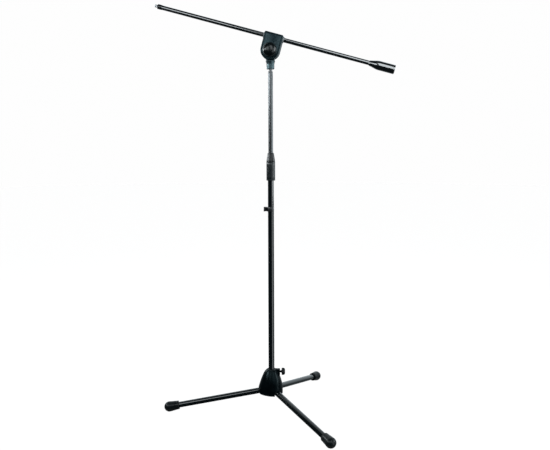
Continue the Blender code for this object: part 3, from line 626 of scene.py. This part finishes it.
def make_hub():
    steps, third = 120, 40
    bm = bmesh.new()
    rings = []
    for z, rm, rr in dense(RINGS, 4):
        ring = []
        for t in range(steps):
            u = abs((t % third) / third * 2 - 1)
            r = rm + (rr - rm) * (u ** 1.7 if u < 0.999 else 0.985)
            a = math.radians(LEG_AZ[2] + 120 * t / third)
            ring.append(bm.verts.new(at(r * math.cos(a), r * math.sin(a), z)))
        rings.append(ring)
    for r, z in ((0.0127, 0.0626), (0.0127, 0.1288), (0.0105, 0.1288), (0.0105, 0.1464), (0.0111, 0.1470)):
        rings.append([bm.verts.new(at(r * math.cos(a), r * math.sin(a), z))
                      for a in (math.radians(LEG_AZ[2] + 120 * t / third) for t in range(steps))])
    for p, q in zip(rings, rings[1:] + rings[:1]):
        for t in range(steps):
            n = (t + 1) % steps
            bm.faces.new((p[t], q[t], q[n], p[n]))
    hub = new_object("hub_casting", bm)
    li, lj = direction(LUG_AZ), direction(LUG_AZ + 90)
    lug = prism("tool", [(0.013, 0.1145), (0.0245, 0.1205), (0.0282, 0.1240), (0.0290, 0.1285), (0.0290, 0.1458), (0.0278, 0.1470), (0.013, 0.1470)],
                at(0, 0, 0), li, Z, lj, -0.0068, 0.0068)
    soften(lug, 0.0012, 3, 30)
    combine(hub, lug, 'UNION')
    for az in LEG_AZ:
        M = leg_frame(az)
        half = arc(0, 0, 0.0112, 0, 180, 24)
        a = prism("tool", half + [(-0.0112, -0.06), (0.0112, -0.06)], O, Y, DOWN.cross(Y), DOWN, -0.0126, 0.06)
        a.data.transform(M)
        combine(hub, a)
        s = prism("tool", [(-0.022, -0.05), (0.0070, -0.05), (0.0070, 0.0236), (-0.022, 0.0236)], O, X, Z, Y, -0.0052, 0.0052)
        s.data.transform(M)
        combine(hub, s)
        combine(hub, drum(0.0033, radial(az, PIN_R, PIN_Z), direction(az + 90), -0.0168, 0.0168))
    combine(hub, drum(0.0033, radial(LUG_AZ, 0, 0.1377), li, 0.004, 0.05))
    return smooth(hub, 28)


place(make_hub(), M_HUB, "base", "hub_paint", "base_hub")
for node in ("hub_bush", "pressure_pad"):
    keep(node, M_BRASS)
for n in (1, 2, 3):
    keep("hinge_pin_%d" % n, M_ZINC)

# clamp screw: rolled thread and a round knob with a fluted rim
LI = direction(LUG_AZ)
P0 = radial(LUG_AZ, 0, 0.1377)


def threaded(name, base, axis, h0, h1, major, depth, pitch, segs=40, tip=0.0006):
    rows = int((h1 - h0) / pitch * 8)
    prof = [(0, h0), (major - depth - tip * 0.3, h0)]
    prof += [(major, h0 + tip + (h1 - h0 - tip) * t / rows) for t in range(rows + 1)]
    prof += [(0, h1)]

    def shape(a, r, h):
        if r < major - 1e-9:
            return r
        w = ((h - h0) / pitch - a / (2 * math.pi)) % 1.0
        lead = min(1.0, (h - h0) / (pitch * 1.2))
        return major - depth + depth * lead * max(0.0, 1 - abs(w - 0.5) * 2.4)
    return lathe(name, prof, base, axis, segs, shape=shape, angle=60)


place(threaded("clamp_screw_thread", P0, LI, 0.0136, 0.0422, 0.0028, 0.0004, 0.0008), M_SCREW, "clamp_screw", "screw_black", "clamp_screw_stud")


def flutes(count, depth, r_from):
    def shape(a, r, h):
        return r - depth * (0.5 + 0.5 * math.cos(a * count)) ** 3 if r > r_from else r
    return shape


ki, kr = 0.0342, 0.0120
place(lathe("clamp_screw_head", [(0.0030, 0.0295), (0.0036, 0.0295, 0.0003), (0.0038, 0.0302, 0.0004), (0.0038, ki - 0.0012, 0.0004), (0.0050, ki - 0.0006, 0.0003), (0.0054, ki + 0.0002, 0.0004), (kr - 0.0010, ki + 0.0002, 0.0008), (kr - 0.0001, ki + 0.0014, 0.0010),
                                 (kr, ki + 0.0030, 0.002), (kr, ki + 0.0072, 0.002), (kr - 0.0010, ki + 0.0098, 0.0015), (kr - 0.0034, ki + 0.0114, 0.002), (kr - 0.0062, ki + 0.0119, 0.002),
                                 (0, ki + 0.0120), (0, ki + 0.0085), (0.0030, ki + 0.0085)], P0, LI, 120, shape=flutes(20, 0.00045, kr - 0.0004)),
      M_SCREW_KNOB, "clamp_screw", "knob_plastic", "clamp_screw_knob")

# ------------------------------------------------------------------ legs
LR = 0.00975
for n, az in enumerate(LEG_AZ, 1):
    M = leg_frame(az)
    body = "leg_%d" % n
    # knuckle: rounded eye, tongue, collar and spigot
    er = 0.0085
    block = prism("leg_knuckle_cast_%d" % n, arc(0, 0, er, 90, 270, 24) + [(0.0045, -0.0090), (0.0084, -0.0097), (0.0111, 0.0056), (0.0050, 0.0076)], O, X, Z, Y, -0.0062, 0.0062)
    soften(block, 0.0007, 2, 40)
    tongue = prism("tool", [(-0.0215, -0.0018), (-0.0203, -0.0030), (-0.0055, -0.0050), (-0.0055, 0.0060), (-0.0209, 0.0060), (-0.0215, 0.0054)], O, X, Z, Y, -0.0045, 0.0045)
    combine(block, tongue, 'UNION')
    shank = lathe("tool", [(0, 0.0062), (LR - 0.0006, 0.0062, 0.0005), (LR - 0.0006, 0.0102), (LR - 0.0015, 0.0102), (LR - 0.0015, 0.044), (0, 0.044)], O, DOWN, 48)
    combine(block, shank, 'UNION')
    combine(block, drum(0.0033, O, Y, -0.02, 0.02))
    block.data.transform(M)
    place(smooth(block), M_HUB, body, "knuckle_paint", "leg_knuckle_%d" % n)

    tube = lathe("leg_pipe_%d" % n, [(LR - 0.0012, 0.0105), (LR - 0.0009, 0.0105), (LR, 0.0105, 0.0006), (LR, 0.02), (LR, 0.10), (LR, 0.20), (LR, LEG_LEN - 0.0020, 0.0005),
                                     (LR - 0.0012, LEG_LEN - 0.0020)], O, DOWN, 64, closed=True)
    tube.data.transform(M)
    place(tube, M_LEG[n - 1], body, "tube_paint", "leg_tube_%d" % n)

    L, R = LEG_LEN, 0.0172
    ci = LR + GAP
    prof = [(ci, L - 0.0335), (0.0131, L - 0.0335, 0.0006), (0.0144, L - 0.0329, 0.0009), (0.0145, L - 0.0302, 0.0004), (0.0140, L - 0.0297, 0.0003), (0.0140, L - 0.0291, 0.0003),
            (0.0146, L - 0.0286, 0.0004), (0.0149, L - 0.0240, 0.006), (0.0162, L - 0.0100, 0.010)]
    prof += [(R * math.sin(math.radians(d)), L + R * math.cos(math.radians(d))) for d in range(98, 4, -6)]
    prof += [(0, L + R), (0, L - 0.0016), (ci, L - 0.0016)]
    cap = lathe("foot_bulb_%d" % n, prof, O, DOWN, 72, closed=True)
    cap.data.transform(M)
    for v in cap.data.vertices:
        v.co.z = max(v.co.z, 0.0)
    place(cap, M_FOOT, body, "foot_rubber", "foot_cap_%d" % n)

# ------------------------------------------------------------------ mast and clutch
MR = 0.0100
MB = PIN_Z + 0.0063
BASE = at(0, 0, 0)
place(lathe("mast_pipe", [(MR - 0.0012, MB + 0.0040), (MR, MB + 0.0040, 0.0005)] + [(MR, 0.1 + 0.1 * t) for t in range(8)] + [(MR, 0.8020, 0.0004), (MR - 0.0012, 0.8020)],
            BASE, Z, 72, closed=True), M_MAST, "mast", "tube_paint", "mast_tube")
keep("leg_lock_plug", M_ZINC)
keep("clutch_socket", M_ZINC)
keep("clutch_collet", M_NYLON)
g, gb, gc = 0.0144, 0.7872, 0.8494
rows = [(g, gb + 0.0046 + (gc - gb - 0.0092) * t / 6) for t in range(7)]
place(lathe("clutch_sleeve", [(0.0122, gb), (g - 0.0004, gb, 0.0005), (g + 0.0001, gb + 0.0010, 0.0005), (g + 0.0001, gb + 0.0034, 0.0003), (g - 0.0003, gb + 0.0038, 0.0002)] + rows
            + [(g - 0.0003, gc - 0.0040, 0.0002), (g + 0.0001, gc - 0.0036, 0.0003), (g + 0.0001, gc - 0.0008, 0.0004), (g - 0.0006, gc), (0.0117, gc), (0.0117, 0.8332), (0.0122, 0.8332)],
            BASE, Z, 288, closed=True, shape=lambda a, r, h: r - 0.00016 * (0.5 + 0.5 * math.cos(a * 48)) if gb + 0.0042 < h < gc - 0.0042 and r > g - 0.0001 else r),
      M_GRIP, "clutch_grip", "grip_rubber", "clutch_grip")
place(lathe("clutch_cone", [(0.0117, gc + GAP), (g - 0.0010, gc + GAP, 0.0003), (g - 0.0002, gc + 0.0010, 0.0006), (g - 0.0006, gc + 0.0034, 0.003), (0.0109, 0.8728, 0.003), (0.0106, 0.8758, 0.0010),
                            (0.0096, 0.8772, 0.0008), (0.0085, 0.8772, 0.0003), (0.00805, 0.8766), (0.00805, 0.8694), (0.0096, 0.8694), (0.0104, 0.8606), (0.0117, 0.8498)],
            BASE, Z, 96, closed=True), M_NOSE, "clutch_grip", "knob_plastic", "clutch_nose")

# cable clip
hc = -(0.0124 + 0.0062 - 0.0008)
outl = arc(0, 0, 0.0124, 38, 166, 26) + arc(hc, 0, 0.0062, 30, 232, 26) + arc(hc, 0, 0.0046, 232, 0, 26) + arc(0, 0, 0.0124, 186, 322, 26) + arc(0, 0, 0.0103, 322, 38, 40)
clip = prism("cable_hook", outl, at(0, 0, 0), X, Y, Z, 0.6847, 0.6995)
soften(clip, 0.0004, 2, 50)
place(clip, M_CLIP, "cable_clip", "knob_plastic", "cable_clip")

# ------------------------------------------------------------------ rod and head
keep("rod_foot_bush", M_NYLON)
RR, RI, RB, RT = 0.00775, 0.00655, 0.4400, 1.1388
place(lathe("rod_pipe", [(RI, RB), (RR, RB, 0.0004)] + [(RR, 0.5 + 0.1 * t) for t in range(6)] + [(RR, RT - 0.0030, 0.0008), (RI + 0.0003, RT, 0.0004), (0.0063, RT), (0.0063, RT - 0.016), (RI, RT - 0.017)],
            BASE, Z, 64, closed=True), M_ROD, "upper_rod", "rod_nickel", "upper_rod")
place(lathe("rod_neck_stud", [(0, RT - 0.015), (0.0056, RT - 0.015), (0.0060, RT - 0.0146), (0.0060, RT + 0.0008, 0.0003), (0.0055, RT + 0.0014, 0.0003), (0.0055, RT + 0.0024, 0.0003),
                              (0.0060, RT + 0.0030, 0.0003), (0.0060, 1.1614, 0.0003), (0, 1.1614)], BASE, Z, 64), M_STUD, "upper_rod", "zinc_steel", "rod_top_stud")

nb = 1.1458 - PIV.z
tong = arc(0, 0, 0.0285, -58, 238, 60) + [(-0.0125, -0.0342), (0.0125, -0.0342)]
yoke = prism("yoke_casting", tong, PIV, X, Z, FR, -0.0070, 0.0070)
soften(yoke, 0.0008, 2, 50)
neck = lathe("tool", [(0, nb + 0.0170), (0.0063, nb + 0.0170), (0.0063, nb), (0.0114, nb, 0.0004), (0.0126, nb + 0.0008, 0.0008), (0.0127, nb + 0.0040), (0.0127, nb + 0.0156, 0.002),
                      (0.0136, nb + 0.0205, 0.003), (0.0155, -0.0336, 0.0012), (0.0147, -0.0318, 0.0006), (0, -0.0318)], PIV, Z, 80)
combine(yoke, neck, 'UNION')
combine(yoke, drum(0.0044, PIV, FR, -0.02, 0.02))
place(smooth(yoke, 30), M_YOKE, "upper_rod", "head_paint", "head_yoke")


def plate_outline(d, k, h):
    """Outline of the clamp shell moved inwards by d, at height h along k."""
    w, top = 0.0308 - d, 0.0546 - d
    c = max(0.0042 - d, 0.0014)
    pts = arc(0, 0, w, 180, 360, 60) + [(w, 0.012), (w, 0.026), (w, 0.040)] + arc(w - c, top - c, c, 0, 90, 8) + [(w * 0.5, top), (-w * 0.5, top)] \
        + arc(c - w, top - c, c, 90, 180, 8) + [(-w, 0.040), (-w, 0.026), (-w, 0.012)]
    return [PIV + UB * x + VB * y + k * h for x, y in pts]


for name, sgn, node in (("clamp_plate_front", 1, "clamp_shell_front"), ("clamp_plate_rear", -1, "clamp_shell_rear")):
    k = FR * sgn
    T = 0.0200
    steps = [(0.0, 0.0004), (0.0, 0.0110), (0.0, T - 0.0030)]
    steps += [(0.0030 * (1 - math.cos(math.radians(a))), T - 0.0030 + 0.0030 * math.sin(math.radians(a))) for a in (15, 30, 45, 60, 75, 90)]
    steps += [(0.0040, T), (0.0043, T - 0.0001), (0.0047, T - 0.0007), (0.0056, T - 0.0007), (0.0060, T - 0.0001), (0.0063, T)]
    sh = loft(name, [plate_outline(d, k, h) for d, h in steps])
    pocket = prism("tool", [(-0.05, -0.05), (0.05, -0.05), (0.05, 0.0318), (-0.05, 0.0318)], PIV, UB, VB, k, -0.002, 0.0088)
    combine(sh, pocket)
    combine(sh, drum(0.0102, PIV + VB * BOOM_OFFSET, UB, -0.05, 0.05, 64))
    combine(sh, drum(0.0044, PIV, k, -0.01, 0.04, 40))
    place(smooth(sh, 28), M_HEAD, "boom_clamp", "head_paint", node)
keep("friction_disc_front", M_FIBRE)
keep("friction_disc_rear", M_FIBRE)
keep("tilt_stud", M_ZINC)

T = 0.0200
place(lathe("tilt_nut_dome", [(0.0044, T + GAP), (0.0110, T + GAP, 0.0004), (0.0110, T + 0.0050, 0.0010), (0.0098, T + 0.0078, 0.0016), (0.0060, T + 0.0098, 0.002), (0, T + 0.0104), (0, T + 0.0070), (0.0044, T + 0.0070)],
            PIV, -FR, 90, shape=lambda a, r, h: r * (1 - 0.06 * (0.5 + 0.5 * math.cos(6 * a))) if r > 0.009 else r), M_CAP, "boom_clamp", "cap_black", "tilt_nut_cap")
kr, kf = 0.0222, 0.0500
dome = [(kr, 0.0330), (kr - 0.0005, 0.0364), (kr - 0.0019, 0.0401), (kr - 0.0046, 0.0438), (kr - 0.0086, 0.0470), (kr - 0.0140, 0.0492)]


def spline(points, n):
    out = []
    for t in range(len(points) - 1):
        p0, p1, p2, p3 = points[max(0, t - 1)], points[t], points[t + 1], points[min(len(points) - 1, t + 2)]
        for q in range(n):
            w = q / n
            out.append(tuple(0.5 * (2 * p1[c] + (p2[c] - p0[c]) * w + (2 * p0[c] - 5 * p1[c] + 4 * p2[c] - p3[c]) * w * w
                                    + (3 * p1[c] - p0[c] - 3 * p2[c] + p3[c]) * w ** 3) for c in range(2)))
    return out + [points[-1]]


place(lathe("tilt_knob_dome", [(0.0044, 0.0248), (kr - 0.0024, 0.0248, 0.0008), (kr - 0.0004, 0.0256, 0.0008), (kr, 0.0272, 0.0008), (kr, 0.0290, 0.0003), (kr - 0.0004, 0.0294, 0.0002),
                               (kr - 0.0004, 0.0299, 0.0002), (kr, 0.0303, 0.0003)] + spline(dome + [(0.0001, kf)], 4)[:-1]
            + [(0, kf), (0, kf - 0.0104), (0.0044, kf - 0.0104)], PIV, FR, 128), M_KNOB, "clamp_knob", "knob_plastic", "tilt_knob")
place(lathe("tilt_washer", [(0.0044, T + GAP), (0.0192, T + GAP, 0.0005), (0.0192, 0.0245, 0.0008), (0.0044, 0.0245)], PIV, FR, 96, closed=True), M_CAP, "clamp_knob", "cap_black", "knob_washer")

# ------------------------------------------------------------------ boom
he = 0.0336
place(lathe("boom_liner", [(0.00755, -he), (0.0097, -he, 0.0004), (0.0099, -he + 0.0006, 0.0003), (0.0099, 0), (0.0099, he - 0.0006, 0.0003), (0.0097, he, 0.0004), (0.00755, he)], BP, UB, 72, closed=True),
      M_BUSH, "boom_bush", "bush_grey", "boom_bush")
BR = 0.00725
place(lathe("boom_pipe", [(0.0061, -0.3862), (BR, -0.3862, 0.0004)] + [(BR, -0.3 + 0.1 * t) for t in range(7)] + [(BR, 0.3847, 0.0004), (0.0061, 0.3847)], BP, UB, 64, closed=True),
      M_BOOM, "boom_rod", "tube_paint", "boom_tube")
place(lathe("boom_tip_ferrule", [(0.0051, -0.3896), (0.0071, -0.3896, 0.0003), (0.0079, -0.3888, 0.0004), (0.0079, -0.3872, 0.0002), (0.0076, -0.3869, 0.0002), (0.0076, -0.3865, 0.0002), (0.0079, -0.3862, 0.0002),
                                 (0.0079, -0.3762, 0.0004), (0.0076, -0.3752, 0.0003), (0.00755, -0.3752), (0.00755, -0.3865), (0.0051, -0.3865)], BP, UB, 120, closed=True,
            shape=lambda a, r, h: r - 0.00012 * (0.5 + 0.5 * math.cos(a * 40)) if -0.3860 < h < -0.3764 and r > 0.00785 else r),
      M_FERRULE, "boom_rod", "ferrule_black", "boom_ferrule")
stud = threaded("mic_thread", BP, UB, -0.3990, -0.3860, 0.00470, 0.00058, 0.0015875, 48, 0.0007)
place(stud, M_THREAD, "boom_rod", "zinc_steel", "mic_thread_stud")
keep("counterweight_core", M_IRON)
wl, wt_, wr = 0.3165, 0.3467, 0.4001
place(lathe("counterweight_cover", [(0.00755, wl), (0.0080, wl, 0.0002), (0.0085, wl + 0.0006, 0.0005), (0.0098, wl + 0.0075, 0.008), (0.0118, wl + 0.0160, 0.02), (0.0137, wl + 0.0235, 0.02),
                                    (0.0147, wt_, 0.02), (0.0147, wt_ + 0.02), (0.0147, wr - 0.0050, 0.0003), (0.0144, wr - 0.0047, 0.0002), (0.0144, wr - 0.0042, 0.0002), (0.0147, wr - 0.0039, 0.0003),
                                    (0.0147, wr - 0.0010, 0.0010), (0.0135, wr, 0.0010), (0.0098, wr, 0.0003), (0.0098, wr - 0.0158), (0.0130, wr - 0.0158), (0.0130, wt_ + 0.0018),
                                    (0.0113, wt_ - 0.0063), (0.00755, wt_ - 0.0063)], BP, UB, 96, closed=True), M_WEIGHT, "boom_rod", "weight_rubber", "counterweight_sleeve")
place(lathe("boom_end_cap", [(0, 0.3707), (0.0058, 0.3707), (0.0058, 0.3850), (0.0095, 0.3850, 0.0002), (0.0095, wr - 0.0008, 0.0006), (0.0086, wr - 0.0001, 0.0005), (0.0062, wr - 0.0001, 0.0004),
                             (0.0056, wr - 0.0012, 0.0004), (0, wr - 0.0012)], BP, UB, 72), M_CAP, "boom_rod", "cap_black", "boom_end_plug")
